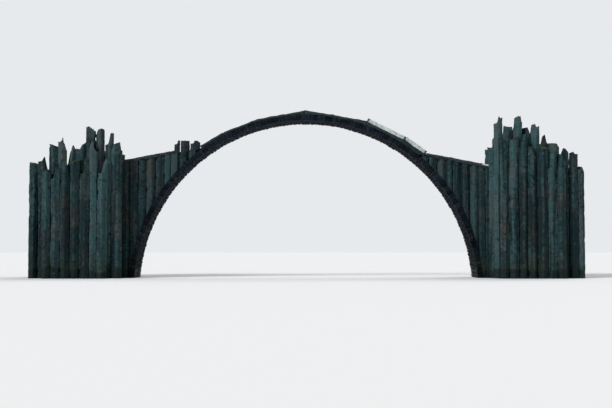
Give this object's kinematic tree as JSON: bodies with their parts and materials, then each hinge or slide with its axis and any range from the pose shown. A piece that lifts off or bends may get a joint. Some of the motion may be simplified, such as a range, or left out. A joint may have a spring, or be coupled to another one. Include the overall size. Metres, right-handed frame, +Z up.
{
  "type": "moon bridge",
  "caption": "High round arch of dark rubble stone carrying a narrow kerbed walk over water, between jagged abutments faced with upright basalt columns.",
  "frame": {"origin": "centre of the footprint at the water line, under the crown", "axes": "+X along the bridge to the picture's right, +Z up, so the pictured front faces -Y"},
  "size_m": [26.2, 4.2196, 8],
  "materials": {
    "ring_stone": "dark weathered basalt rubble, rough",
    "barrel_stone": "dark weathered basalt rubble, rough",
    "kerb_log": "dark basalt, tops worn smooth",
    "paving_stone": "grey basalt setts, worn",
    "rubble_fill": "rubble and earth, rough",
    "column_basalt": "teal-grey columnar basalt, rough"
  },
  "bodies": {
    "root": {"arch_paving": "paving_stone", "barrel_courses": "barrel_stone", "front_keystone": "ring_stone", "front_left_arch_kerb": "kerb_log", "front_left_parapet_stubs": "column_basalt", "front_left_path_kerb": "kerb_log", "front_left_ring_stones": "ring_stone", "front_left_spandrel_columns": "column_basalt", "front_left_tower_columns": "column_basalt", "front_right_arch_kerb": "kerb_log", "front_right_path_kerb": "kerb_log", "front_right_ring_stones": "ring_stone", "front_right_spandrel_columns": "column_basalt", "front_right_tower_columns": "column_basalt", "left_end_columns": "column_basalt", "left_path_paving": "paving_stone", "left_spandrel_fill": "rubble_fill", "left_tower_fill": "rubble_fill", "rear_keystone": "ring_stone", "rear_left_arch_kerb": "kerb_log", "rear_left_path_kerb": "kerb_log", "rear_left_ring_stones": "ring_stone", "rear_left_spandrel_columns": "column_basalt", "rear_left_tower_columns": "column_basalt", "rear_right_arch_kerb": "kerb_log", "rear_right_path_kerb": "kerb_log", "rear_right_ring_stones": "ring_stone", "rear_right_spandrel_columns": "column_basalt", "rear_right_tower_columns": "column_basalt", "right_end_columns": "column_basalt", "right_path_paving": "paving_stone", "right_spandrel_fill": "rubble_fill", "right_tower_fill": "rubble_fill"}
  },
  "joints": []
}
